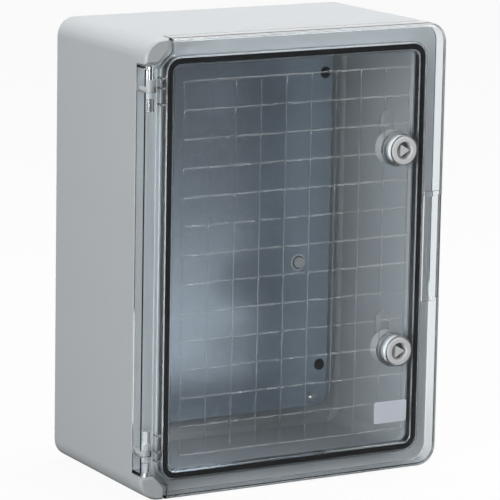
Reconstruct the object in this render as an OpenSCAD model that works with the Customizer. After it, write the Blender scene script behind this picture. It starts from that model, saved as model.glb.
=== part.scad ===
// Wall cabinet for switchgear: a moulded grey base, a clear hinged door with a
// rubber seal, two quarter-turn locks and a steel mounting plate.
// X runs to the right seen from the front, Z up, and the door faces -Y.
// The origin is the middle of the four wall holes, on the back face.

/* [Cabinet] */
// Overall width
cab_w = 300; // [260:10:500]
// Overall height
cab_h = 400; // [360:10:700]
// Depth from the wall to the face of the door
cab_d = 170; // [130:5:250]
// Corner radius of the outline
corner_r = 18; // [15:1:20]
// Wall thickness of the base
wall = 3; // [2:0.5:4]
// Thickness of the back of the base
floor_t = 3.5; // [2.5:0.5:5]
// Amount by which each side leans in towards the back
draft = 1.6; // [0.5:0.1:3]
// Bevel round the outside of the back
back_bevel = 2; // [1:0.5:2.5]
// Bevel round the inside of the back
floor_bevel = 4; // [2:0.5:6]
// Thickness of the flange round the mouth of the base
flange_t = 3; // [2.5:0.5:5]

/* [Door] */
// Thickness of the clear panel
panel_t = 3; // [2.5:0.5:4]
// Thickness of the skirt
skirt_t = 2.5; // [2:0.5:3]
// Depth of the skirt
skirt_d = 17.5; // [16:0.5:20]
// Gap between the skirt and the base
door_gap = 1.3; // [1:0.1:2]
// Rounding of the front edge
edge_r = 4; // [3.5:0.5:5]

/* [Seal] */
// Middle of the seal from the sides of the cabinet
seal_side = 24; // [22:1:28]
// Middle of the seal from the top and the bottom
seal_top = 20; // [18:1:24]
// Corner radius at the middle of the seal
seal_r = 10; // [8:1:14]
// Width of the seal
seal_w = 5; // [4:0.5:6]
// Depth of the seal
seal_d = 8; // [4:0.5:9]
// Thickness of the two ribs that hold the seal
rib_t = 1.5; // [1:0.25:2]
// Length by which the ribs reach past the seal
rib_lap = 0.4; // [0.2:0.1:3]
// Thickness of the tongue of the base that meets the seal
tongue_t = 2.4; // [2:0.2:3]
// Space left between the tongue and the seal
seal_gap = 0.3; // [0.2:0.1:0.5]
// Space left at each side of the seal
seal_fit = 0.05; // [0.02:0.01:0.1]

/* [Hinge corners] */
// Height of the two corner blocks
block_h = 21.5; // [20:0.5:26]
// Width of the corner blocks
block_w = 23.5; // [21:0.5:26]
// Size of the slanted cut of the corner blocks
block_cut = 10.5; // [8:0.5:11]
// Face of the blocks behind the face of the door
block_back = 2; // [1.5:0.5:4]
// Bevel round the face of the blocks
block_bevel = 2; // [1:0.5:3]
// Gap between the blocks and the door
block_gap = 1.3; // [1.2:0.1:2]

/* [Hinges] */
// Hinge axis from the side of the cabinet
axis_side = 6.25; // [5.5:0.25:7]
// Hinge axis behind the face of the door
axis_back = 6.25; // [5:0.25:6.5]
// Space between a corner block and the end of the hinge
hinge_room = 0.2; // [0.2:0.2:20]
// Diameter of the hinge pins
pin_d = 3; // [2.5:0.25:3.5]
// Length of the lug on the base
lug_l = 16; // [12:1:17]
// Diameter of the lug
lug_d = 5.8; // [5:0.2:6.4]
// Width of the web behind the lug
lug_web = 4.4; // [3.6:0.2:4.8]
// Height of the web behind the lug
lug_web_h = 4; // [3:0.5:8]
// Space between the lug and the inside of the door
lug_room = 0.3; // [0.3:0.05:0.6]
// Length of each knuckle on the door
knuckle_l = 11; // [8:0.5:11.5]
// Diameter of the knuckles
knuckle_d = 6; // [5:0.25:6.5]
// Width of the web that joins a knuckle to the panel
knuckle_web = 5; // [4:0.5:5.5]
// End play between a knuckle and the lug
end_play = 0.5; // [0.3:0.1:0.8]
// Radial clearance of the pins in the knuckles
pin_play = 0.05; // [0.03:0.01:0.08]
// Radial clearance of fixed pieces in their holes
fit = 0.02; // [0.01:0.01:0.05]

/* [Finger grip] */
// Length of the recess in the edge of the door
grip_l = 93; // [60:1:110]
// Reach of the recess from the edge of the door
grip_w = 14; // [10:0.5:15]
// Depth of the recess
grip_depth = 3; // [2:0.25:3.5]
// Corner radius of the recess
grip_r = 6; // [3:0.5:8]

/* [Grid] */
// Spacing of the lines moulded in the door
grid_pitch = 25; // [20:1:30]
// Outermost lines from the edges of the cabinet
grid_edge = 37.5; // [37:0.5:45]
// Width of a line
grid_w = 1; // [0.6:0.2:1.4]
// Height of a line
grid_t = 0.5; // [0.3:0.1:0.8]

/* [Locks] */
// Space between the nut of a lock and the rib of the seal
lock_room = 3.45; // [1:0.05:8]
// Distance between the two locks
lock_pitch = 180; // [140:5:220]
// Diameter of the head
head_d = 24.6; // [23:0.2:26]
// Thickness of the head
head_t = 7; // [6:0.5:8]
// Diameter of the barrel
barrel_d = 20; // [19:0.5:21]
// Diameter of the key recess
recess_d = 15.7; // [14:0.1:16.5]
// Depth of the key recess
recess_depth = 8; // [6:0.5:9]
// Side of the triangular key post
key_side = 10.5; // [8:0.5:11]
// Thickness of the seal under the head
washer_t = 1; // [0.6:0.2:1.4]
// Wall of the clear collar round the head
collar_t = 1.5; // [1:0.25:2]
// Diameter of the clear boss and of the nut
nut_d = 31; // [30:0.5:34]
// Depth of the clear boss behind the panel
boss_t = 4.6; // [3:0.2:5]
// Thickness of the nut
nut_t = 9.7; // [6:0.1:10]
// Number of spanner holes in the back of the nut
nut_holes = 6; // [4:1:8]
// Length of the cam from the lock axis
cam_l = 32; // [29:0.5:36]
// Width of the cam
cam_w = 14; // [13:0.5:16]
// Thickness of the cam
cam_t = 2.5; // [2:0.25:3]
// Gap between the cam and the flange
cam_gap = 0.5; // [0.4:0.1:1]
// Diameter of the spindle
spindle_d = 9.8; // [9.5:0.1:10.5]
// Width of the square end of the spindle
square_w = 6.6; // [6:0.2:6.8]
// Radial clearance of the turning core
core_play = 0.08; // [0.05:0.01:0.1]

/* [Mounting plate] */
// Edge of the plate from the sides of the cabinet
plate_side = 25; // [20:1:30]
// Edge of the plate from the top and the bottom
plate_end = 25; // [20:1:30]
// Thickness of the plate
plate_t = 2; // [1.5:0.5:3]
// Corner radius of the plate
plate_r = 10; // [5:1:12]
// Height of the plate above the inside of the back
plate_stand = 12; // [11:1:20]
// Screws from the side edges of the plate
screw_side = 15; // [9:0.5:25]
// Screws from the upper and lower edges of the plate
screw_end = 8; // [7:0.5:20]
// Diameter of the plate screws
screw_d = 5; // [4:0.5:6]
// Diameter of the threaded inserts
insert_d = 7; // [6.8:0.2:8]
// Length of the threaded inserts
insert_l = 9; // [7:0.5:10]
// Diameter of the bosses that carry the plate
stand_d = 12; // [11:0.5:14]
// Diameter of the plugged holes in the plate
access_d = 9; // [8:0.5:11]
// Plugged holes from the side edges of the plate
access_side = 8; // [7.5:0.5:15]
// Plugged holes from the upper and lower edges of the plate
access_end = 38.5; // [32:0.5:60]
// Earth screw from the right edge of the plate
earth_side = 33; // [20:1:60]
// Earth screw below the middle of the cabinet
earth_down = 38; // [20:1:60]
// Diameter of the earth screw
earth_d = 6; // [5:0.5:8]

/* [Wall holes] */
// Wall holes from the side edges of the plate
hole_side = 8; // [7.5:0.5:15]
// Wall holes from the upper and lower edges of the plate
hole_end = 25; // [22:0.5:60]
// Diameter of the wall holes
hole_d = 6.5; // [5:0.5:8]
// Diameter of the pads round the wall holes
pad_d = 14; // [12:0.5:16]
// Height of the pads above the inside of the back
pad_t = 3; // [1:0.5:4]

/* [Label] */
// Width of the bare label
label_w = 33.5; // [20:0.5:36]
// Height of the bare label
label_h = 19.5; // [15:0.5:30]
// Thickness of the label
label_t = 0.3; // [0.2:0.1:0.5]
// Space between the label and the rib of the seal at its right
label_side = 4; // [0.5:0.5:10]
// Space between the label and the rib of the seal below it
label_end = 19.5; // [2:0.5:30]
// Corner radius of the label
label_r = 2; // [1:0.5:4]

/* [Hidden] */
$fn = 64;

// Overlap that joins the solids of one piece, and overshoot of a cut
join = 0.5;
past = 1;

// Planes of the base, measured back from the face of the door
mouth = skirt_d + door_gap;
flange_back = mouth + flange_t;
floor_face = cab_d - floor_t;
plate_back = floor_face - plate_stand;
plate_face = plate_back - plate_t;

// Seal, ribs and tongue
seal_x = cab_w / 2 - seal_side;
seal_z = cab_h / 2 - seal_top;
seal_back = panel_t + seal_d;
rib_gap = seal_w / 2 + seal_fit;
tongue_face = seal_back + seal_gap;

// Hinges
axis_x = -cab_w / 2 + axis_side;
knuckle_start = lug_l / 2 + end_play;
pin_l = 2 * (knuckle_start + knuckle_l);
hinge_z = cab_h / 2 - block_h - block_gap - hinge_room - pin_l / 2;
sweep_r = norm([axis_side, skirt_d - axis_back]);
channel_floor = max(axis_back + sweep_r + end_play, mouth + end_play);
channel_wall = 2;
slot_room = 0.8;
slot_x = axis_x + lug_web / 2 + slot_room;
gusset_t = 1.6;
gusset_w = 4.5;

// Locks
lock_x = seal_x - rib_gap - rib_t - lock_room - nut_d / 2;
lock_z = lock_pitch / 2;
head_face = -(washer_t + head_t);
boss_back = panel_t + boss_t;
nut_back = boss_back + nut_t;
core_face = head_face + recess_depth;
barrel_over = 1.7;
barrel_back = nut_back + barrel_over;
end_wall = 4;
core_gap = 0.3;
core_back = barrel_back - end_wall;
post_back = 1;
cam_face = flange_back + cam_gap;
cam_back = cam_face + cam_t;
cam_washer_t = 1;
cam_washer_d = 12;
cam_screw_d = 4;
cam_screw_l = 9;
cam_head_d = 8;
cam_head_t = 2.5;
spanner_d = 3;
spanner_depth = 4;
spanner_r = (barrel_d + nut_d) / 4;

// Plate and its fasteners
plate_w = cab_w - 2 * plate_side;
plate_h = cab_h - 2 * plate_end;
screw_x = plate_w / 2 - screw_side;
screw_z = plate_h / 2 - screw_end;
hole_x = plate_w / 2 - hole_side;
hole_z = plate_h / 2 - hole_end;
access_x = plate_w / 2 - access_side;
access_z = plate_h / 2 - access_end;
hole_over = 0.4;
washer_h = 1;
tip_room = 2;
screw_l = washer_h + plate_t + insert_l - tip_room;
earth_nut_t = earth_d * 0.8;
earth_l = washer_h + plate_t + earth_nut_t + tip_room;
plug_lip = 0.8;
plug_head = 1.2;
plug_wall = 1.5;
plug_over = 1.5;

// Finger grip: the panel keeps its thickness behind the recess
grip_pad = grip_depth + panel_t;

ends = [-1, 1];

// Y of a plane that lies s behind the face of the door
function fy(s) = s - cab_d;

// Flat outline in X and Z, drawn from s0 to s1 behind the face of the door
module slab(s0, s1) {
  translate([0, fy(s1), 0]) rotate([90, 0, 0]) linear_extrude(s1 - s0) children();
}

module rod(d, s0, s1) {
  slab(s0, s1) circle(d = d);
}

module tube(d_out, d_in, s0, s1) {
  slab(s0, s1) difference() {
    circle(d = d_out);
    circle(d = d_in);
  }
}

module rounded_rect(w, h, r) {
  square([w - 2 * r, h], center = true);
  square([w, h - 2 * r], center = true);
  for (sx = ends, sz = ends)
    translate([sx * (w / 2 - r), sz * (h / 2 - r)]) circle(r);
}

// Outline of the seal, moved out by grow
module seal_outline(grow) {
  rounded_rect(2 * (seal_x + grow), 2 * (seal_z + grow), seal_r + grow);
}

module seal_ring(inner, outer, s0, s1) {
  slab(s0, s1) difference() {
    seal_outline(outer);
    seal_outline(inner);
  }
}

// Rounded box from s0 to s1 whose sides lean in by the draft, with a bevel round its back
module bevelled_box(w, h, r, bevel, s0, s1) {
  s2 = s1 - bevel;
  foot = draft + bevel;
  translate([0, 0, r - h / 2]) linear_extrude(h - 2 * r) polygon([
    [-w / 2, fy(s0)], [w / 2, fy(s0)], [w / 2 - draft, fy(s2)],
    [w / 2 - foot, fy(s1)], [foot - w / 2, fy(s1)], [draft - w / 2, fy(s2)]
  ]);
  translate([r - w / 2, 0, 0]) rotate([90, 0, 90]) linear_extrude(w - 2 * r) polygon([
    [fy(s0), -h / 2], [fy(s2), draft - h / 2], [fy(s1), foot - h / 2],
    [fy(s1), h / 2 - foot], [fy(s2), h / 2 - draft], [fy(s0), h / 2]
  ]);
  for (sx = ends, sz = ends)
    translate([sx * (w / 2 - r), fy(s0), sz * (h / 2 - r)]) rotate([-90, 0, 0]) rotate_extrude()
      polygon([[0, 0], [r, 0], [r - draft, s2 - s0], [r - foot, s1 - s0], [0, s1 - s0]]);
}

// Rounded slab whose front edge is rounded by e
module pillow(w, h, r, e, s0, s1) {
  slab(s0, s1) rounded_rect(w - 2 * e, h - 2 * e, r - e);
  slab(s0 + e, s1) rounded_rect(w, h, r);
  for (sx = ends)
    translate([sx * (w / 2 - e), fy(s0 + e), r - h / 2]) cylinder(h = h - 2 * r, r = e);
  for (sz = ends)
    translate([r - w / 2, fy(s0 + e), sz * (h / 2 - e)]) rotate([0, 90, 0]) cylinder(h = w - 2 * r, r = e);
  for (sx = ends, sz = ends)
    translate([sx * (w / 2 - r), fy(s0 + e), sz * (h / 2 - r)]) rotate([90, 0, 0])
      rotate_extrude() translate([r - e, 0]) circle(e);
}

// Outline of the upper corner block, moved out by grow on its free sides
module block_outline(grow, outer) {
  bx = -cab_w / 2 + block_w - block_cut;
  bz = cab_h / 2 - block_h;
  slant = grow * tan(22.5);
  polygon([
    [-cab_w / 2 - outer, bz - grow],
    [bx + slant, bz - grow],
    [bx + block_cut + grow, bz + block_cut - slant],
    [bx + block_cut + grow, cab_h / 2 + outer],
    [-cab_w / 2 - outer, cab_h / 2 + outer]
  ]);
}

// An upper outline and its mirror image below
module at_both_ends() {
  for (sz = ends) scale([1, sz]) children();
}

module at_corners(x, z) {
  for (sx = ends, sz = ends) translate([sx * x, 0, sz * z]) children();
}

// One corner block, bevelled at its face
module corner_block() {
  hull() {
    slab(block_back + block_bevel, channel_floor + join) corner_face(0);
    slab(block_back, mouth) corner_face(block_bevel);
  }
}

// Face of the block, drawn in by inset all round
module corner_face(inset) {
  intersection() {
    rounded_rect(cab_w - 2 * inset, cab_h - 2 * inset, corner_r - inset, $fn = 32);
    block_outline(-inset, 0);
  }
}

module hinge_lug() {
  translate([axis_x, fy(axis_back), -lug_l / 2]) cylinder(h = lug_l, d = lug_d);
  translate([axis_x - lug_web / 2, fy(axis_back), -lug_web_h / 2])
    cube([lug_web, channel_floor + join - axis_back, lug_web_h]);
}

module axis_bore(r, l) {
  translate([axis_x, fy(axis_back), -l / 2]) cylinder(h = l, r = r);
}

// Channel beside the seal in which the hinge side of the skirt swings
module hinge_channel() {
  channel_x = axis_x - axis_side + channel_wall;
  channel_w = axis_side + sweep_r + end_play - channel_wall;
  channel_h = cab_h - 2 * block_h;
  translate([channel_x, fy(mouth - past), -channel_h / 2])
    cube([channel_w, channel_floor - mouth + past, channel_h]);
}

module base_box() color([0.80, 0.81, 0.82]) {
  inner_r = corner_r - wall;
  difference() {
    union() {
      difference() {
        bevelled_box(cab_w, cab_h, corner_r, back_bevel, mouth, cab_d);
        bevelled_box(cab_w - 2 * wall, cab_h - 2 * wall, inner_r, floor_bevel, flange_back, floor_face);
        slab(mouth - past, flange_back + past) seal_outline(-tongue_t / 2);
        hinge_channel();
      }
      seal_ring(-tongue_t / 2, tongue_t / 2, tongue_face, mouth + join);
      corner_block();
      mirror([0, 0, 1]) corner_block();
      for (sz = ends) translate([0, 0, sz * hinge_z]) hinge_lug();
      at_corners(screw_x, screw_z) rod(stand_d, plate_back, floor_face + join);
      at_corners(hole_x, hole_z) rod(pad_d, floor_face - pad_t, floor_face + join);
    }
    for (sz = ends) translate([0, 0, sz * hinge_z]) axis_bore(pin_d / 2 + fit, lug_l + 2 * past);
    at_corners(screw_x, screw_z)
      rod(insert_d + 2 * fit, plate_back - past, plate_back + insert_l);
    at_corners(hole_x, hole_z)
      rod(hole_d, floor_face - pad_t - past, cab_d + past);
  }
}

module threaded_inserts() color([0.72, 0.56, 0.28]) {
  at_corners(screw_x, screw_z)
    tube(insert_d, screw_d + 2 * fit, plate_back, plate_back + insert_l);
}

module mounting_plate() color([0.56, 0.58, 0.60]) {
  slab(plate_face, plate_back) difference() {
    rounded_rect(plate_w, plate_h, plate_r);
    for (sx = ends, sz = ends) {
      translate([sx * screw_x, sz * screw_z]) circle(d = screw_d + hole_over);
      translate([sx * access_x, sz * access_z]) circle(d = access_d);
    }
    translate([plate_w / 2 - earth_side, -earth_down]) circle(d = earth_d + hole_over);
  }
}

// Pan head with a cross recess and a plain shank, its seat at s
module cross_screw(d, l, s, head_w, head_h) {
  slot = d * 0.22;
  edge = head_h * 0.4;
  difference() {
    union() {
      rod(d, s - join, s + l);
      rod(head_w, s - head_h + edge, s);
      translate([0, fy(s - head_h + edge), 0]) rotate([90, 0, 0])
        cylinder(h = edge, d1 = head_w, d2 = head_w - 2 * edge);
    }
    slab(s - head_h - past, s - head_h * 0.35) {
      square([d * 1.1, slot], center = true);
      square([slot, d * 1.1], center = true);
    }
  }
}

module plate_screws() color([0.78, 0.79, 0.80]) {
  at_corners(screw_x, screw_z)
    cross_screw(screw_d, screw_l, plate_face - washer_h, screw_d * 1.8, screw_d * 0.6);
}

module plate_washers() color([0.70, 0.71, 0.72]) {
  at_corners(screw_x, screw_z)
    tube(screw_d * 2, screw_d + hole_over, plate_face - washer_h, plate_face);
}

// Push-in plug with a low domed head and a hollow stem
module plate_plug() {
  head_w = access_d + 2 * plug_lip;
  rim = plate_face - plug_head / 2;
  tip = plate_back + plug_over;
  difference() {
    union() {
      rod(head_w, rim, plate_face);
      translate([0, fy(rim), 0]) rotate([90, 0, 0])
        cylinder(h = plug_head / 2, d1 = head_w, d2 = head_w - 2 * plug_head);
      rod(access_d - 2 * fit, rim, tip);
    }
    rod(access_d - 2 * plug_wall, plate_face + join, tip + past);
  }
}

module plate_plugs() color([0.10, 0.10, 0.11]) {
  at_corners(access_x, access_z) plate_plug();
}

module at_earth() {
  translate([plate_w / 2 - earth_side, 0, -earth_down]) children();
}

module earth_screw() color([0.82, 0.83, 0.84]) {
  at_earth() cross_screw(earth_d, earth_l, plate_face - washer_h, earth_d * 1.6, earth_d * 0.6);
}

module earth_washer() color([0.66, 0.67, 0.68]) {
  at_earth() tube(earth_d * 2.6, earth_d + hole_over, plate_face - washer_h, plate_face);
}

module earth_nut() color([0.74, 0.75, 0.76]) {
  across = earth_d * 1.667;
  at_earth() slab(plate_back, plate_back + earth_nut_t) difference() {
    circle(d = across / cos(30), $fn = 6);
    circle(d = earth_d + 2 * fit);
  }
}

module hinge_pin() {
  translate([axis_x, fy(axis_back), -pin_l / 2]) cylinder(h = pin_l, d = pin_d);
}

module upper_hinge_pin() color([0.76, 0.77, 0.78]) {
  translate([0, 0, hinge_z]) hinge_pin();
}

module lower_hinge_pin() color([0.76, 0.77, 0.78]) {
  translate([0, 0, -hinge_z]) hinge_pin();
}

// Cut that clears both corner blocks, moved out by grow
module corner_cuts(grow, s0, s1) {
  slab(s0, s1) at_both_ends() block_outline(grow, past);
}

// Hollow of the door behind its panel, with a wall left along the corner cuts
module door_hollow() {
  hollow_w = cab_w - 2 * skirt_t;
  hollow_h = cab_h - 2 * skirt_t;
  difference() {
    pillow(hollow_w, hollow_h, corner_r - skirt_t, edge_r - skirt_t, panel_t, skirt_d + past);
    corner_cuts(block_gap + skirt_t, 0, skirt_d + 2 * past);
  }
}

// Square lattice of raised lines on the inside of the panel, left out under the label
module door_grid() {
  span_x = cab_w - 2 * grid_edge;
  span_z = cab_h - 2 * grid_edge;
  columns = floor(span_x / grid_pitch);
  rows = floor(span_z / grid_pitch);
  line_x = rows * grid_pitch + grid_w;
  line_z = columns * grid_pitch + grid_w;
  difference() {
    slab(panel_t - join, panel_t + grid_t) {
      for (i = [0 : columns])
        translate([(i - columns / 2) * grid_pitch, 0]) square([grid_w, line_x], center = true);
      for (j = [0 : rows])
        translate([0, (j - rows / 2) * grid_pitch]) square([line_z, grid_w], center = true);
    }
    slab(panel_t, panel_t + 2 * grid_t)
      at_label() square([label_w + 2 * grid_w, label_h + 2 * grid_w], center = true);
  }
}

module at_label() {
  rib_side = rib_gap + rib_t;
  label_x = seal_x - rib_side - label_side - label_w / 2;
  label_z = label_end + rib_side + label_h / 2 - seal_z;
  translate([label_x, label_z]) children();
}

// Barrel of the door at a hinge, with the web that joins it to the panel
module door_knuckles() {
  for (sz = ends) translate([axis_x, fy(axis_back), sz * (knuckle_start + knuckle_l / 2)]) {
    cylinder(h = knuckle_l, d = knuckle_d, center = true);
    translate([-knuckle_web / 2, panel_t / 2 - axis_back, -knuckle_l / 2])
      cube([knuckle_web, axis_back - panel_t / 2, knuckle_l]);
  }
}

// Three gussets that stiffen the outer rib beside a hinge
module hinge_gussets() {
  rib_x = -seal_x - rib_gap - rib_t;
  for (z = [-knuckle_start - knuckle_l / 2, 0, knuckle_start])
    translate([rib_x - gusset_w + join, fy(panel_t - join), z - gusset_t / 2])
      cube([gusset_w, seal_d + join, gusset_t]);
}

// Clear collar in front of the panel and boss behind it, round one lock
module lock_seat() {
  collar_d = head_d + 2 * pin_play + 2 * collar_t;
  rod(collar_d, head_face + washer_t, join);
  rod(nut_d, panel_t - join, boss_back);
}

module lock_seat_bore() {
  rod(head_d + 2 * pin_play, head_face - past, 0);
  rod(barrel_d + 2 * fit, -past, boss_back + past);
}

module at_locks() {
  for (sz = ends) translate([lock_x, 0, sz * lock_z]) children();
}

// Pad behind the finger recess
module grip_pad_block() {
  pad_w = grip_w + panel_t;
  translate([cab_w / 2 - skirt_t / 2 - pad_w, fy(panel_t - join), -grip_l / 2 - panel_t])
    cube([pad_w, grip_pad - panel_t + join, grip_l + 2 * panel_t]);
}

module grip_recess() {
  reach = 2 * grip_w;
  slab(-past, grip_depth)
    translate([cab_w / 2 - grip_w + reach / 2, 0]) rounded_rect(reach, grip_l, grip_r);
}

// Slot that lets the web of the lug pass when the door swings
module web_slot() {
  slot_h = lug_web_h + 2 * end_play;
  translate([-cab_w / 2 - past, fy(-past), -slot_h / 2])
    cube([slot_x + cab_w / 2 + past, skirt_d + 2 * past, slot_h]);
}

module door() color([0.86, 0.90, 0.92, 0.35]) {
  difference() {
    union() {
      difference() {
        pillow(cab_w, cab_h, corner_r, edge_r, 0, skirt_d);
        door_hollow();
      }
      seal_ring(rib_gap, rib_gap + rib_t, panel_t - join, seal_back + rib_lap);
      seal_ring(-rib_gap - rib_t, -rib_gap, panel_t - join, seal_back + rib_lap);
      door_grid();
      at_locks() lock_seat();
      for (sz = ends) translate([0, 0, sz * hinge_z]) {
        door_knuckles();
        scale([1, 1, sz]) hinge_gussets();
      }
      grip_pad_block();
    }
    corner_cuts(block_gap, -past, skirt_d + past);
    at_locks() lock_seat_bore();
    for (sz = ends) translate([0, 0, sz * hinge_z]) {
      web_slot();
      axis_bore(lug_d / 2 + lug_room, lug_l + end_play);
      axis_bore(pin_d / 2 + pin_play, pin_l + 2 * past);
    }
    grip_recess();
  }
}

module door_gasket() color([0.10, 0.10, 0.11]) {
  seal_ring(-seal_w / 2, seal_w / 2, panel_t, seal_back);
}

module label_plate() color([0.80, 0.79, 0.84]) {
  slab(panel_t, panel_t + label_t) at_label() rounded_rect(label_w, label_h, label_r);
}

module lock_housing() {
  edge = 0.6;
  difference() {
    union() {
      rod(head_d, head_face + edge, -washer_t);
      translate([0, fy(head_face + edge), 0]) rotate([90, 0, 0])
        cylinder(h = edge, d1 = head_d, d2 = head_d - 2 * edge);
      rod(barrel_d, -washer_t - join, barrel_back);
    }
    rod(recess_d, head_face - past, core_back);
    rod(spindle_d + 2 * core_play, core_back - past, barrel_back + past);
  }
}

module lock_seal() {
  tube(head_d - hole_over, barrel_d + 2 * fit, -washer_t, 0);
}

module lock_nut() {
  difference() {
    tube(nut_d, barrel_d + 2 * fit, boss_back, nut_back);
    for (i = [0 : nut_holes - 1]) rotate([0, i * 360 / nut_holes, 0])
      translate([spanner_r, 0, 0]) rod(spanner_d, nut_back - spanner_depth, nut_back + past);
  }
}

// Core with the triangular key post in front and the square cam seat behind
module lock_core() {
  disc_back = core_back - core_gap;
  difference() {
    union() {
      slab(head_face + post_back, core_face + join) circle(d = key_side / cos(30), $fn = 3);
      rod(recess_d - 2 * core_play, core_face, disc_back);
      rod(spindle_d, disc_back - join, cam_face);
      slab(cam_face - join, cam_back) square(square_w, center = true);
    }
    rod(cam_screw_d + 2 * fit, cam_back - cam_screw_l, cam_back + past);
  }
}

// Cam, pointing up when the lock is open
module lock_cam() {
  slab(cam_face, cam_back) difference() {
    union() {
      circle(d = cam_w);
      translate([-cam_w / 2, 0]) square([cam_w, cam_l - cam_w / 2]);
      translate([0, cam_l - cam_w / 2]) circle(d = cam_w);
    }
    square(square_w + 2 * fit, center = true);
  }
}

module cam_washer() {
  tube(cam_washer_d, cam_screw_d + hole_over, cam_back, cam_back + cam_washer_t);
}

module cam_screw() {
  seat = cam_back + cam_washer_t;
  translate([0, 2 * fy(seat), 0]) mirror([0, 1, 0])
    cross_screw(cam_screw_d, cam_screw_l, seat, cam_head_d, cam_head_t);
}

module at_lock(sz) {
  translate([lock_x, 0, sz * lock_z]) children();
}

module upper_lock_housing() color([0.80, 0.81, 0.82]) at_lock(1) lock_housing();
module upper_lock_seal() color([0.08, 0.08, 0.09]) at_lock(1) lock_seal();
module upper_lock_nut() color([0.80, 0.81, 0.82]) at_lock(1) lock_nut();
module upper_lock_core() color([0.62, 0.63, 0.64]) at_lock(1) lock_core();
module upper_lock_cam() color([0.74, 0.75, 0.77]) at_lock(1) lock_cam();
module upper_cam_washer() color([0.70, 0.71, 0.72]) at_lock(1) cam_washer();
module upper_cam_screw() color([0.78, 0.79, 0.80]) at_lock(1) cam_screw();

module lower_lock_housing() color([0.80, 0.81, 0.82]) at_lock(-1) lock_housing();
module lower_lock_seal() color([0.08, 0.08, 0.09]) at_lock(-1) lock_seal();
module lower_lock_nut() color([0.80, 0.81, 0.82]) at_lock(-1) lock_nut();
module lower_lock_core() color([0.62, 0.63, 0.64]) at_lock(-1) lock_core();
module lower_lock_cam() color([0.74, 0.75, 0.77]) at_lock(-1) lock_cam();
module lower_cam_washer() color([0.70, 0.71, 0.72]) at_lock(-1) cam_washer();
module lower_cam_screw() color([0.78, 0.79, 0.80]) at_lock(-1) cam_screw();

base_box();
threaded_inserts();
mounting_plate();
plate_screws();
plate_washers();
plate_plugs();
earth_screw();
earth_washer();
earth_nut();
upper_hinge_pin();
lower_hinge_pin();
door();
door_gasket();
label_plate();
upper_lock_housing();
upper_lock_seal();
upper_lock_nut();
upper_lock_core();
upper_lock_cam();
upper_cam_washer();
upper_cam_screw();
lower_lock_housing();
lower_lock_seal();
lower_lock_nut();
lower_lock_core();
lower_lock_cam();
lower_cam_washer();
lower_cam_screw();
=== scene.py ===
import math

import bmesh
import bpy
from mathutils import Matrix, Vector


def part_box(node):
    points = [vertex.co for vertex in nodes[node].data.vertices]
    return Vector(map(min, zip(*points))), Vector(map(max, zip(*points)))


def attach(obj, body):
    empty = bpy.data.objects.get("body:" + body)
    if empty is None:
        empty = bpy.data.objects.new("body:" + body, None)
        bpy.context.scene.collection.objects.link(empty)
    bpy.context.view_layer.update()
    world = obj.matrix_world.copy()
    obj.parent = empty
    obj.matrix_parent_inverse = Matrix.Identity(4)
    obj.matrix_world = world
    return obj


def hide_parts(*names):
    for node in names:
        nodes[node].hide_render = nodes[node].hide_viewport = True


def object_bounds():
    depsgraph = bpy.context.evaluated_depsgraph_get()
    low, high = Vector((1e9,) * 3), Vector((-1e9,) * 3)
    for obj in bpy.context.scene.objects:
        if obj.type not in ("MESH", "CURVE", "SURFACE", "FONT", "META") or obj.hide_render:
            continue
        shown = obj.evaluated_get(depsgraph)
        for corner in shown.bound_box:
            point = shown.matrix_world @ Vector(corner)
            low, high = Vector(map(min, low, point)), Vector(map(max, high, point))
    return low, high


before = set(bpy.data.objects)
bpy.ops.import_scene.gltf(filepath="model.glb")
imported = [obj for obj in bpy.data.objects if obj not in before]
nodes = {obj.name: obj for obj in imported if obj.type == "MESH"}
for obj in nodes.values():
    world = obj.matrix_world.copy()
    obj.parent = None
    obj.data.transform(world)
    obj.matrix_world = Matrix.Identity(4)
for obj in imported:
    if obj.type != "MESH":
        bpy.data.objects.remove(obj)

solid_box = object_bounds()


# Base box: one light grey ABS moulding, open at the front, with a flange and a
# sealing tongue round its mouth, a block at each hinge corner and a lug for each
# hinge. Its edges are slightly round and its skin has a fine spark grain.
def add(tree, kind, inputs=None, **settings):
    """A shader node, with its inputs set to values or joined to other nodes."""
    made = tree.nodes.new(kind)
    for key, value in settings.items():
        setattr(made, key, value)
    for key, value in (inputs or {}).items():
        if isinstance(value, bpy.types.NodeSocket):
            tree.links.new(value, made.inputs[key])
        else:
            made.inputs[key].default_value = value
    return made


def maths(tree, operation, *values):
    """A sum, product or the like of numbers and sockets."""
    return add(tree, "ShaderNodeMath", dict(enumerate(values)), operation=operation).outputs[0]


def noise(tree, where, scale, detail):
    """Soft noise between 0 and 1."""
    made = add(tree, "ShaderNodeTexNoise", {"Vector": where, "Scale": scale, "Detail": detail})
    return made.outputs["Fac"]


def around(tree, value, spread, centre):
    """A value between 0 and 1, spread about a centre."""
    return maths(tree, "MULTIPLY_ADD", maths(tree, "SUBTRACT", value, 0.5), spread, centre)


def effect(name, inputs, outputs):
    """An empty shader node group with named sockets."""
    tree = bpy.data.node_groups.new(name, "ShaderNodeTree")
    for label, kind in inputs.items():
        tree.interface.new_socket(label, in_out="INPUT", socket_type=kind)
    for label, kind in outputs.items():
        tree.interface.new_socket(label, in_out="OUTPUT", socket_type=kind)
    return tree, tree.nodes.new("NodeGroupInput").outputs, tree.nodes.new("NodeGroupOutput").inputs


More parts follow.
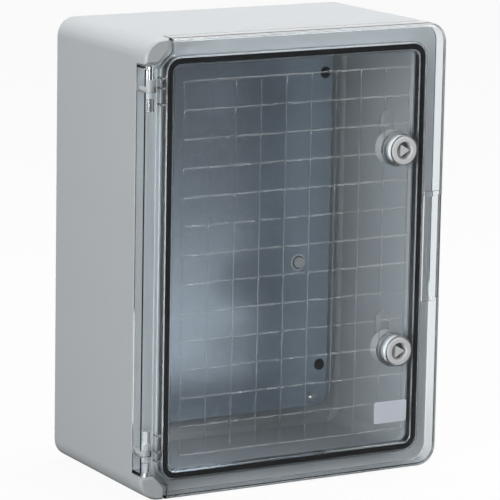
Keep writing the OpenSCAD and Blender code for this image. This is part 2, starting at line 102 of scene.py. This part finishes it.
NUMBER, COLOUR = "NodeSocketFloat", "NodeSocketColor"
mould_skin, given, gives = effect(
    "mould_skin",
    {"Colour": COLOUR, "Cloud": NUMBER, "Grain": NUMBER, "Rough": NUMBER, "Uneven": NUMBER},
    {"Colour": COLOUR, "Roughness": NUMBER, "Height": NUMBER},
)
CLOUD_SCALE, PATCH_SCALE = 14.0, 70.0
where = add(mould_skin, "ShaderNodeTexCoord").outputs["Object"]
cloud = around(mould_skin, noise(mould_skin, where, CLOUD_SCALE, 3.0), given["Cloud"], 1.0)
patch = around(mould_skin, noise(mould_skin, where, PATCH_SCALE, 4.0), given["Uneven"], given["Rough"])
tinted = add(mould_skin, "ShaderNodeHueSaturation", {"Value": cloud, "Color": given["Colour"]})
mould_skin.links.new(tinted.outputs["Color"], gives["Colour"])
mould_skin.links.new(patch, gives["Roughness"])
mould_skin.links.new(noise(mould_skin, where, given["Grain"], 2.0), gives["Height"])
BUMP_STRENGTH = 0.6


def skinned(name, group, values, relief, **plain):
    """A material whose colour, roughness and relief come from a skin effect."""
    material = bpy.data.materials.new(name)
    material.use_nodes = True
    tree = material.node_tree
    shader = tree.nodes["Principled BSDF"]
    skin = add(tree, "ShaderNodeGroup", node_tree=group)
    for label, value in values.items():
        skin.inputs[label].default_value = value
    bump = add(tree, "ShaderNodeBump", {
        "Height": skin.outputs["Height"], "Strength": BUMP_STRENGTH, "Distance": relief,
    })
    tree.links.new(skin.outputs["Colour"], shader.inputs["Base Color"])
    tree.links.new(skin.outputs["Roughness"], shader.inputs["Roughness"])
    tree.links.new(bump.outputs["Normal"], shader.inputs["Normal"])
    for label, value in plain.items():
        shader.inputs[label.replace("_", " ")].default_value = value
    return material


SAME_POINT = 2e-6
SAME_PLANE, CREASE = math.radians(0.3), math.radians(32)


def merged(node):
    """A copy of a solid's mesh with its triangles joined, for finishing."""
    bm = bmesh.new()
    bm.from_mesh(nodes[node].data)
    bmesh.ops.remove_doubles(bm, verts=bm.verts, dist=SAME_POINT)
    bmesh.ops.dissolve_limit(bm, angle_limit=SAME_PLANE, verts=bm.verts, edges=bm.edges)
    return bm


def put(bm, name, body, node, materials, rounding=0.0):
    """A finished piece: its edges rounded, smooth between creases, riding on its body."""
    for face in bm.faces:
        face.smooth = True
    weight = bm.edges.layers.float.new("bevel_weight_edge")
    for edge in bm.edges:
        edge.smooth = len(edge.link_faces) == 2 and edge.calc_face_angle() < CREASE
        length = edge.calc_length()
        # A sharp edge is rounded only where it is long enough and its faces are wide enough.
        has_room = length > 3 * rounding and all(
            face.calc_area() > 2 * rounding * length for face in edge.link_faces
        )
        edge[weight] = 1.0 if has_room and not edge.smooth else 0.0
    mesh = bpy.data.meshes.new(name)
    bm.to_mesh(mesh)
    bm.free()
    for material in materials:
        mesh.materials.append(material)
    piece = bpy.data.objects.new(name, mesh)
    bpy.context.scene.collection.objects.link(piece)
    if rounding:
        soften = piece.modifiers.new("soft_edges", "BEVEL")
        soften.width, soften.segments, soften.profile = rounding, 2, 0.5
        soften.limit_method = "WEIGHT"
        soften.use_clamp_overlap = False
    level = piece.modifiers.new("even_faces", "WEIGHTED_NORMAL")
    level.keep_sharp = True
    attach(piece, body)
    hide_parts(node)


grey_abs = skinned(
    "grey_abs", mould_skin,
    {"Colour": (0.585, 0.615, 0.635, 1), "Cloud": 0.05, "Grain": 2600.0, "Rough": 0.42, "Uneven": 0.18},
    relief=0.00004,
)
put(merged("base_box"), "base_shell", "base", "base_box", [grey_abs], rounding=0.0003)


# Threaded inserts: turned brass sleeves with a small chamfer at each end, pressed
# into the bosses that carry the mounting plate.
def turned(bm, outline, place, steps=48):
    """Spin an outline of (radius, depth) points round a line along Y through a place."""
    x, z = place
    ring = [bm.verts.new((x + radius, depth, z)) for radius, depth in outline]
    ends_on_line = outline[0][0] == 0 and outline[-1][0] == 0
    pairs = list(zip(ring, ring[1:])) + ([] if ends_on_line else [(ring[-1], ring[0])])
    edges = [bm.edges.new(pair) for pair in pairs]
    bmesh.ops.spin(
        bm, geom=ring + edges, cent=(x, 0, z), axis=(0, 1, 0), angle=math.tau, steps=steps, use_merge=True
    )


def closed(bm):
    """Join the seams and poles of spun pieces and turn their faces outwards."""
    bmesh.ops.remove_doubles(bm, verts=bm.verts, dist=SAME_POINT)
    bmesh.ops.recalc_face_normals(bm, faces=bm.faces)
    return bm


def sleeve(inner, outer, front, back, chamfer):
    """Outline of a ring with chamfered rims."""
    return [
        (inner, front), (outer - chamfer, front), (outer, front + chamfer),
        (outer, back - chamfer), (outer - chamfer, back), (inner, back),
    ]


def at_corners(outline, reach, outer):
    """A turned piece at each of four corners, as far out as the set reaches."""
    bm = bmesh.new()
    for side in (-1, 1):
        for end in (-1, 1):
            turned(bm, outline, (side * (reach.x - outer), end * (reach.z - outer)))
    return closed(bm)


zinc_skin, given, gives = effect(
    "zinc_skin",
    {"Colour": COLOUR, "Spangle": NUMBER, "Contrast": NUMBER, "Rough": NUMBER, "Uneven": NUMBER},
    {"Colour": COLOUR, "Roughness": NUMBER, "Height": NUMBER},
)
PIT_SCALE = 900.0
where = add(zinc_skin, "ShaderNodeTexCoord").outputs["Object"]
cells = add(zinc_skin, "ShaderNodeTexVoronoi", {"Vector": where, "Scale": given["Spangle"]})
flake = add(zinc_skin, "ShaderNodeSeparateColor", {"Color": cells.outputs["Color"]}).outputs["Red"]
shade = around(zinc_skin, flake, given["Contrast"], 1.0)
tinted = add(zinc_skin, "ShaderNodeHueSaturation", {"Value": shade, "Color": given["Colour"]})
zinc_skin.links.new(tinted.outputs["Color"], gives["Colour"])
zinc_skin.links.new(around(zinc_skin, flake, given["Uneven"], given["Rough"]), gives["Roughness"])
zinc_skin.links.new(noise(zinc_skin, where, PIT_SCALE, 3.0), gives["Height"])

brass = skinned(
    "brass", zinc_skin,
    {"Colour": (0.62, 0.42, 0.15, 1), "Spangle": 1100.0, "Contrast": 0.15, "Rough": 0.32, "Uneven": 0.15},
    relief=0.00002, Metallic=1.0,
)
insert_inner, insert_outer, insert_chamfer = 0.00252, 0.0035, 0.0004
low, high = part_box("threaded_inserts")
bm = at_corners(sleeve(insert_inner, insert_outer, low.y, high.y, insert_chamfer), high, insert_outer)
put(bm, "brass_inserts", "base", "threaded_inserts", [brass])


# Mounting plate: a galvanised sheet with round corners, punched for its screws and
# plugs. The zinc has a faint spangle, and the punched edges are slightly broken.
plate_steel = skinned(
    "plate_steel", zinc_skin,
    {"Colour": (0.48, 0.545, 0.615, 1), "Spangle": 700.0, "Contrast": 0.08, "Rough": 0.255, "Uneven": 0.03},
    relief=0.00001, Metallic=0.8,
)
put(
    merged("mounting_plate"), "back_plate", "base", "mounting_plate", [plate_steel],
    rounding=0.0002,
)


# Plate screws and washers: pan head cross screws of bright zinc-plated steel, one
# at each corner of the plate, each on a stamped washer.
zinc_steel = skinned(
    "zinc_steel", zinc_skin,
    {"Colour": (0.70, 0.72, 0.75, 1), "Spangle": 1400.0, "Contrast": 0.1, "Rough": 0.26, "Uneven": 0.12},
    relief=0.00002, Metallic=0.85,
)
put(
    merged("plate_screws"), "plate_screw_set", "base", "plate_screws", [zinc_steel],
    rounding=0.00015,
)
washer_inner, washer_outer, washer_chamfer = 0.0027, 0.005, 0.00015
low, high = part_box("plate_washers")
bm = at_corners(sleeve(washer_inner, washer_outer, low.y, high.y, washer_chamfer), high, washer_outer)
put(bm, "plate_washer_set", "base", "plate_washers", [zinc_steel])


# Plate plugs: black plastic caps with a low domed head and a hollow stem, pushed
# into the four spare holes of the plate.
black_plastic = skinned(
    "black_plastic", mould_skin,
    {"Colour": (0.02, 0.02, 0.022, 1), "Cloud": 0.2, "Grain": 3200.0, "Rough": 0.45, "Uneven": 0.2},
    relief=0.00004,
)
plug_outer, plug_stem, plug_bore, plug_rise = 0.0053, 0.00448, 0.003, 0.0012
plug_roof, plug_chamfer = 0.0005, 0.0004
rim_share, dome_share = 0.3, 0.7
low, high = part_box("plate_plugs")
seat = low.y + plug_rise
dome = [
    (plug_outer * math.sin(turn), seat - plug_rise * (rim_share + dome_share * math.cos(turn)))
    for turn in (math.radians(15 * step) for step in range(7))
]
dome[0] = (0, dome[0][1])
stem = [
    (plug_outer, seat), (plug_stem, seat), (plug_stem, high.y - plug_chamfer),
    (plug_stem - plug_chamfer, high.y), (plug_bore, high.y), (plug_bore, seat + plug_roof),
    (0, seat + plug_roof),
]
bm = at_corners(dome + stem, high, plug_outer)
put(bm, "plug_caps", "base", "plate_plugs", [black_plastic])


# Earth point: a cross screw through the plate with a broad washer in front and a
# hexagon nut behind, of zinc-plated steel. The screw and the washer are near white and
# matt, a painted highlight on the pale zinc, with a ring of painted shade round the screw head.
def round_box(node):
    """Front, back, middle (x, z) and radius of a round solid that lies along Y."""
    low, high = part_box(node)
    return low.y, high.y, ((low.x + high.x) / 2, (low.z + high.z) / 2), (high.x - low.x) / 2


# Near-white matt zinc: a painted highlight standing in for the shine of the screw head and the washer's
# rim.
painted_highlight_zinc = skinned(
    "painted_highlight_zinc", zinc_skin,
    {"Colour": (0.95, 0.96, 0.97, 1), "Spangle": 1400.0, "Contrast": 0.08, "Rough": 0.35, "Uneven": 0.12},
    relief=0.00002, Metallic=0.0,
)
# Dark zinc: painted shade, a dark ring on the washer's face round the screw head.
painted_shade_zinc = skinned(
    "painted_shade_zinc", zinc_skin,
    {"Colour": (0.16, 0.17, 0.19, 1), "Spangle": 1400.0, "Contrast": 0.1, "Rough": 0.4, "Uneven": 0.12},
    relief=0.00002, Metallic=0.5,
)
put(merged("earth_screw"), "earth_stud", "base", "earth_screw", [painted_highlight_zinc], rounding=0.0002)
disc_bore, painted_shade_ring_r, disc_chamfer = 0.0032, 0.0063, 0.0004
front, back, middle, outer = round_box("earth_washer")
inner_edge, *rest = sleeve(disc_bore, outer, front, back, disc_chamfer)
bm = bmesh.new()
turned(bm, [inner_edge, (painted_shade_ring_r, front)] + rest, middle, steps=64)
# The washer's flat front inside the ring gets the painted shade.
for face in closed(bm).faces:
    spot = face.calc_center_median()
    in_painted_shade = math.hypot(spot.x - middle[0], spot.z - middle[1]) < painted_shade_ring_r
    face.material_index = 1 if in_painted_shade and face.normal.y < -0.95 else 0
put(bm, "earth_disc", "base", "earth_washer", [painted_highlight_zinc, painted_shade_zinc])
put(merged("earth_nut"), "earth_hexagon", "base", "earth_nut", [zinc_steel], rounding=0.0002)


# Hinge pins: plain ground steel pins with chamfered ends, pressed through the lugs
# of the base. The knuckles of the door turn on them.
bright_pin = skinned(
    "bright_pin", zinc_skin,
    {"Colour": (0.80, 0.81, 0.82, 1), "Spangle": 1800.0, "Contrast": 0.06, "Rough": 0.14, "Uneven": 0.08},
    relief=0.00001, Metallic=1.0,
)
pin_chamfer = 0.0003
for side in ("upper", "lower"):
    low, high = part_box(side + "_hinge_pin")
    pin_r = (high.x - low.x) / 2
    bm = bmesh.new()
    bmesh.ops.create_cone(
        bm, cap_ends=True, segments=32, radius1=pin_r, radius2=pin_r,
        depth=high.z - low.z, matrix=Matrix.Translation((low + high) / 2),
    )
    rims = [edge for edge in bm.edges if abs(edge.verts[0].co.z - edge.verts[1].co.z) < 1e-6]
    bmesh.ops.bevel(
        bm, geom=rims, offset=pin_chamfer, affect="EDGES", segments=2, profile=0.5, material=-1
    )
    put(bm, side + "_pin", "base", side + "_hinge_pin", [bright_pin])


# Door: one clear polycarbonate moulding with a skirt, two ribs for the seal, lock
# collars and knuckles. The square grid on its inside is left frosted by the mould.
DOOR_TINT, SHADOW_TINT, DOOR_IOR = (0.96, 0.985, 1.0, 1), (0.72, 0.73, 0.735, 1), 1.5
HAZE_SCALE, FLOW_SCALE, FLOW_STRENGTH, FLOW_DEPTH = 30.0, 24.0, 0.004, 0.0002


def surface(tree, share, first, second):
    """Join two shaders, with a share of the second, and send them to the surface."""
    either = add(tree, "ShaderNodeMixShader", {0: share, 1: first.outputs[0], 2: second.outputs[0]})
    tree.links.new(either.outputs[0], tree.nodes["Material Output"].inputs["Surface"])


def clear(name, clearness, haze_low, haze_high):
    """Clear plastic with a faint haze and ripple, which lets part of the lamps' light in."""
    material = bpy.data.materials.new(name)
    material.use_nodes = True
    tree = material.node_tree
    glass = tree.nodes["Principled BSDF"]
    glass.inputs["Base Color"].default_value = DOOR_TINT
    glass.inputs["IOR"].default_value = DOOR_IOR
    glass.inputs["Transmission Weight"].default_value = clearness
    where = add(tree, "ShaderNodeTexCoord").outputs["Object"]
    haze = add(tree, "ShaderNodeMapRange", {
        "Value": noise(tree, where, HAZE_SCALE, 5.0), "To Min": haze_low, "To Max": haze_high,
    })
    ripple = add(tree, "ShaderNodeBump", {
        "Height": noise(tree, where, FLOW_SCALE, 1.0), "Strength": FLOW_STRENGTH, "Distance": FLOW_DEPTH,
    })
    tree.links.new(haze.outputs["Result"], glass.inputs["Roughness"])
    tree.links.new(ripple.outputs["Normal"], glass.inputs["Normal"])
    in_shadow = add(tree, "ShaderNodeLightPath").outputs["Is Shadow Ray"]
    through = add(tree, "ShaderNodeBsdfTransparent", {"Color": SHADOW_TINT})
    surface(tree, in_shadow, glass, through)
    return material


clear_plastic = clear("clear_plastic", 1.0, 0.01, 0.03)
frosted_line = clear("frosted_line", 0.985, 0.03, 0.05)
door_face = -0.170
panel_back = door_face + 0.003
grid_front, grid_back = panel_back + 0.0001, panel_back + 0.0006
grid_half_w, grid_half_h = 0.123, 0.177
bm = merged("door")
for face in bm.faces:
    spot = face.calc_center_median()
    in_panel = abs(spot.x) < grid_half_w and abs(spot.z) < grid_half_h
    face.material_index = 1 if in_panel and grid_front < spot.y < grid_back else 0
put(bm, "clear_door", "door", "door", [clear_plastic, frosted_line], rounding=0.00015)


# Door seal and lock seals: matt black rubber. The door seal is a strip laid between
# the two ribs, and each lock has a flat ring under its head.
black_rubber = skinned(
    "black_rubber", mould_skin,
    {"Colour": (0.008, 0.008, 0.009, 1), "Cloud": 0.3, "Grain": 1800.0, "Rough": 0.62, "Uneven": 0.2},
    relief=0.00005, Specular_IOR_Level=0.15,
)
laid_back, touching = 0.00004, 0.00001
bm = merged("door_gasket")
on_panel = [v for v in bm.verts if v.co.y < panel_back + touching]
bmesh.ops.translate(bm, verts=on_panel, vec=(0, laid_back, 0))
put(bm, "seal_strip", "door", "door_gasket", [black_rubber], rounding=0.0003)
ring_bore, ring_chamfer = 0.01002, 0.0002
for side in ("upper", "lower"):
    front, back, middle, outer = round_box(side + "_lock_seal")
    bm = bmesh.new()
    turned(bm, sleeve(ring_bore, outer, front + laid_back, back - laid_back, ring_chamfer), middle)
    put(closed(bm), side + "_seal_ring", "door", side + "_lock_seal", [black_rubber])


# Label: a plain film with a paler rim, stuck on the inside of the door and left
# bare. It is cut from sheet with round corners.
label_film = skinned(
    "label_film", mould_skin,
    {"Colour": (0.79, 0.80, 0.87, 1), "Cloud": 0.06, "Grain": 1500.0, "Rough": 0.5, "Uneven": 0.1},
    relief=0.00002,
)
label_rim = skinned(
    "label_rim", mould_skin,
    {"Colour": (0.93, 0.93, 0.96, 1), "Cloud": 0.05, "Grain": 1500.0, "Rough": 0.5, "Uneven": 0.1},
    relief=0.00002,
)
label_corner, label_rim_width = 0.002, 0.0007
low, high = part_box("label_plate")
bm = bmesh.new()
bmesh.ops.create_grid(bm, x_segments=1, y_segments=1, size=0.5)
bmesh.ops.scale(bm, verts=bm.verts, vec=(high.x - low.x, high.z - low.z, 1))
bmesh.ops.bevel(
    bm, geom=bm.verts[:], offset=label_corner, affect="VERTICES", segments=6, profile=0.5, material=-1
)
bmesh.ops.rotate(bm, verts=bm.verts, cent=(0, 0, 0), matrix=Matrix.Rotation(math.radians(90), 3, "X"))
bmesh.ops.translate(bm, verts=bm.verts, vec=((low.x + high.x) / 2, high.y, (low.z + high.z) / 2))
film = bmesh.ops.extrude_face_region(bm, geom=bm.faces[:])
moved = [v for v in film["geom"] if isinstance(v, bmesh.types.BMVert)]
bmesh.ops.translate(bm, verts=moved, vec=(0, low.y + laid_back - high.y, 0))
bmesh.ops.recalc_face_normals(bm, faces=bm.faces)
fronts = [face for face in bm.faces if face.normal.y < -0.9]
rim = bmesh.ops.inset_region(bm, faces=fronts, thickness=label_rim_width)
for face in rim["faces"]:
    face.material_index = 1
put(bm, "bare_label", "door", "label_plate", [label_film, label_rim])


# Locks: a light plastic housing screwed into the door by a milky nylon nut, with a
# plated core inside. The core has a pale triangular key post on a dark disc, whose dark colour is painted
# shade in the key recess, and carries a steel cam.
lock_plastic = skinned(
    "lock_plastic", mould_skin,
    {"Colour": (0.93, 0.94, 0.95, 1), "Cloud": 0.04, "Grain": 2400.0, "Rough": 0.3, "Uneven": 0.12},
    relief=0.00002,
)
nut_nylon = skinned(
    "nut_nylon", mould_skin,
    {"Colour": (0.93, 0.94, 0.95, 1), "Cloud": 0.05, "Grain": 1800.0, "Rough": 0.3, "Uneven": 0.1},
    relief=0.00002, Transmission_Weight=0.4,
)
# Dark core metal: painted shade for the floor of the key recess.
lock_metal = skinned(
    "lock_metal", zinc_skin,
    {"Colour": (0.19, 0.215, 0.21, 1), "Spangle": 900.0, "Contrast": 0.12, "Rough": 0.35, "Uneven": 0.15},
    relief=0.00002, Metallic=0.7,
)
post_metal = skinned(
    "post_metal", zinc_skin,
    {"Colour": (0.93, 0.94, 0.94, 1), "Spangle": 900.0, "Contrast": 0.06, "Rough": 0.4, "Uneven": 0.12},
    relief=0.00002, Metallic=0.1,
)
cam_steel = skinned(
    "cam_steel", zinc_skin,
    {"Colour": (0.44, 0.46, 0.47, 1), "Spangle": 1400.0, "Contrast": 0.06, "Rough": 0.45, "Uneven": 0.1},
    relief=0.00002, Metallic=0.4,
)
head_r, recess_r, barrel_r, bore_r = 0.0123, 0.00785, 0.010, 0.00498
head_front, head_back = door_face - 0.008, door_face - 0.001
recess_end, barrel_end = door_face + 0.015, door_face + 0.019
disc_r, disc_end, spindle_r = 0.00777, door_face + 0.0147, 0.0049
post_front, post_r, post_round = door_face - 0.007, 0.00606, 0.00015
cam_front, cam_back = door_face + 0.0223, door_face + 0.0248
square_w, tapped_r, tapped_front = 0.0066, 0.00202, door_face + 0.0158
cam_washer_bore, cam_washer_chamfer = 0.0022, 0.00015
head_round = 0.0006
lean = head_round * 0.3
half = head_round / 2
point_right = (
    Matrix.Rotation(math.radians(90), 4, "X") @ Matrix.Rotation(math.radians(-90), 4, "Z")
)
for side in ("upper", "lower"):
    lock = side + "_lock"
    _, _, middle, _ = round_box(lock + "_housing")
    bm = bmesh.new()
    turned(bm, [
        (recess_r + half, head_front), (head_r - head_round, head_front),
        (head_r - lean, head_front + lean), (head_r, head_front + head_round),
        (head_r, head_back), (barrel_r, head_back),
        (barrel_r, barrel_end - head_round), (barrel_r - head_round, barrel_end),
        (bore_r, barrel_end), (bore_r, recess_end),
        (recess_r, recess_end), (recess_r, head_front + half),
    ], middle, steps=64)
    put(closed(bm), side + "_housing", "door", lock + "_housing", [lock_plastic])
    put(
        merged(lock + "_nut"), side + "_nut", "door", lock + "_nut", [nut_nylon],
        rounding=0.0003,
    )

    bm = bmesh.new()
    turned(bm, [
        (0, door_face), (disc_r, door_face), (disc_r, disc_end), (spindle_r, disc_end),
        (spindle_r, cam_front), (tapped_r, cam_front), (tapped_r, tapped_front), (0, tapped_front),
    ], middle)
    # The disc and spindle take the dark core metal, painted shade in the key recess.
    for face in closed(bm).faces:
        face.material_index = 1
    post_middle = Matrix.Translation((middle[0], (door_face + post_front) / 2, middle[1]))
    post = bmesh.ops.create_cone(
        bm, cap_ends=True, segments=3, radius1=post_r, radius2=post_r, depth=door_face - post_front,
        matrix=post_middle @ point_right,
    )
    corners = {edge for v in post["verts"] for edge in v.link_edges}
    bmesh.ops.bevel(
        bm, geom=list(corners), offset=post_round, affect="EDGES", segments=2, profile=0.5, material=-1
    )
    square_middle = Matrix.Translation((middle[0], (cam_front + cam_back) / 2, middle[1]))
    square = bmesh.ops.create_cube(
        bm, size=1.0,
        matrix=square_middle @ Matrix.Diagonal((square_w, cam_back - cam_front, square_w, 1)),
    )
    for v in square["verts"]:
        for face in v.link_faces:
            face.material_index = 1
    put(bm, side + "_core", lock, lock + "_core", [post_metal, lock_metal])

    put(
        merged(lock + "_cam"), side + "_cam", lock, lock + "_cam", [cam_steel],
        rounding=0.0003,
    )
    front, back, _, outer = round_box(side + "_cam_washer")
    bm = bmesh.new()
    turned(bm, sleeve(cam_washer_bore, outer, front, back, cam_washer_chamfer), middle)
    put(closed(bm), side + "_cam_disc", lock, side + "_cam_washer", [zinc_steel])
    put(
        merged(side + "_cam_screw"), side + "_cam_bolt", lock, side + "_cam_screw",
        [zinc_steel], rounding=0.00015,
    )


# Floor: a pale table under the cabinet, which ends about 0.65 m in front of the
# door. It is white to the camera, keeps the cabinet's shadow, and is dark in its gloss.
scene = bpy.context.scene
FLOOR_SIDE, FLOOR_FRONT, FLOOR_BACK, FLOOR_GAP = 6.0, -0.82, 6.0, 0.0005
bm = bmesh.new()
bmesh.ops.create_grid(bm, x_segments=1, y_segments=1, size=1.0)
bmesh.ops.scale(bm, verts=bm.verts, vec=(FLOOR_SIDE, (FLOOR_BACK - FLOOR_FRONT) / 2, 1))
bmesh.ops.translate(
    bm, verts=bm.verts, vec=(0, (FLOOR_BACK + FLOOR_FRONT) / 2, solid_box[0].z - FLOOR_GAP)
)
table = bpy.data.meshes.new("floor")
bm.to_mesh(table)
bm.free()
floor = bpy.data.objects.new("floor", table)
scene.collection.objects.link(floor)


def straight(tree, gloss):
    """1 for what is seen directly or through the door, gloss for a reflection, 0 for stray light."""
    rays = add(tree, "ShaderNodeLightPath").outputs
    # A reflection inside the door's wall crosses two faces, one from the plate behind it four.
    turned_back = maths(tree, "GREATER_THAN", rays["Glossy Depth"], 0.5)
    one_wall = maths(tree, "LESS_THAN", rays["Transmission Depth"], 2.5)
    in_door = maths(tree, "MULTIPLY", turned_back, one_wall)
    kept = maths(tree, "MULTIPLY_ADD", in_door, gloss - 1.0, 1.0)
    passed = maths(tree, "MULTIPLY", rays["Is Transmission Ray"], kept)
    mirrored = maths(tree, "MULTIPLY", rays["Is Glossy Ray"], gloss)
    seen = maths(tree, "MAXIMUM", rays["Is Camera Ray"], maths(tree, "MAXIMUM", mirrored, passed))
    return maths(tree, "MULTIPLY", seen, maths(tree, "LESS_THAN", rays["Diffuse Depth"], 0.5))


PAPER_SEEN, PAPER_LEAST, PAPER_ROUGH = 0.78, 0.07, 0.9
WHITE_SHARE, WHITE_GLOSS = 0.94, 0.03
FOOT_NEAR, FOOT_FAR = 0.02, 0.2
paper = bpy.data.materials.new("white_paper")
paper.use_nodes = True
tree = paper.node_tree
matt = tree.nodes["Principled BSDF"]
matt.inputs["Roughness"].default_value = PAPER_ROUGH
shade = maths(tree, "MULTIPLY_ADD", straight(tree, 0.0), PAPER_SEEN, PAPER_LEAST)
tree.links.new(shade, matt.inputs["Base Color"])
where = add(tree, "ShaderNodeTexCoord").outputs["Object"]
place = add(tree, "ShaderNodeSeparateXYZ", {"Vector": where}).outputs
half_w, half_d = solid_box[1].x, (solid_box[1].y - solid_box[0].y) / 2
aside = maths(tree, "SUBTRACT", maths(tree, "ABSOLUTE", place["X"]), half_w)
from_middle = maths(tree, "ABSOLUTE", maths(tree, "ADD", place["Y"], half_d))
apart = maths(tree, "MAXIMUM", aside, maths(tree, "SUBTRACT", from_middle, half_d))
off_foot = add(tree, "ShaderNodeMapRange", {
    "Value": apart, "From Min": FOOT_NEAR, "From Max": FOOT_FAR,
}).outputs["Result"]
looked_at = add(tree, "ShaderNodeLightPath").outputs["Is Camera Ray"]
away = maths(tree, "MULTIPLY", straight(tree, WHITE_GLOSS), off_foot)
share = maths(tree, "MULTIPLY", maths(tree, "MAXIMUM", looked_at, away), WHITE_SHARE)
white = add(tree, "ShaderNodeEmission", {"Color": (1, 1, 1, 1), "Strength": 1.0})
surface(tree, share, matt, white)
table.materials.append(paper)


# Room and lamps: a white room behind the cabinet and a dark one in front, with a
# softbox overhead, one at the left and a weaker one at the right.
FRONT_LEVEL, BACK_LEVEL, STRAY_LEVEL = 0.1, 1.0, 0.08
FADE_FRONT, FADE_BACK = -0.4, 0.1
room = bpy.data.worlds.new("room")
scene.world = room
room.use_nodes = True
tree = room.node_tree
aim = add(tree, "ShaderNodeTexCoord").outputs["Generated"]
dim = add(tree, "ShaderNodeMapRange", {
    "Value": add(tree, "ShaderNodeSeparateXYZ", {"Vector": aim}).outputs["Y"],
    "From Min": FADE_FRONT, "From Max": FADE_BACK, "To Min": FRONT_LEVEL, "To Max": BACK_LEVEL,
}).outputs["Result"]
rays = add(tree, "ShaderNodeLightPath").outputs
not_mirrored = maths(tree, "LESS_THAN", rays["Glossy Depth"], 0.5)
looked_through = maths(tree, "MULTIPLY", rays["Is Transmission Ray"], not_mirrored)
bright = maths(tree, "MAXIMUM", rays["Is Camera Ray"], maths(tree, "MAXIMUM", dim, looked_through))
level = add(tree, "ShaderNodeMapRange", {
    "Value": straight(tree, 1.0), "To Min": STRAY_LEVEL, "To Max": bright,
}).outputs["Result"]
tree.nodes["Background"].inputs["Color"].default_value = (1, 1, 1, 1)
tree.links.new(level, tree.nodes["Background"].inputs["Strength"])
LAMP_AIM = Vector((0, -0.1, 0))


def lamp(name, place, side, power):
    """A square softbox, aimed at the middle of the cabinet."""
    data = bpy.data.lights.new(name, "AREA")
    data.shape = "RECTANGLE"
    data.size, data.size_y, data.energy = side, side, power
    made = bpy.data.objects.new(name, data)
    scene.collection.objects.link(made)
    made.location = place
    made.rotation_euler = (LAMP_AIM - Vector(place)).to_track_quat("-Z", "Y").to_euler()


lamp("overhead_softbox", (0.4, 0.1, 2.3), side=1.0, power=40)
lamp("left_softbox", (-2.25, -1.06, 0.4), side=1.2, power=40)
lamp("right_softbox", (1.3, -2.1, 1.2), side=1.0, power=19)


# Camera: where the photograph was taken from, to the left of the door and a little
# above it.
view = bpy.data.cameras.new("photo_view")
view.lens, view.sensor_width = 253.82, 36.0
view.clip_start, view.clip_end = 0.1, 50.0
camera = bpy.data.objects.new("photo_view", view)
scene.collection.objects.link(camera)
camera.location = (-1.5363, -2.7402, 0.6050)
camera.rotation_euler = [math.radians(a) for a in (78.7203, -1.0315, -29.8874)]
scene.camera = camera
scene.view_settings.view_transform = "Standard"
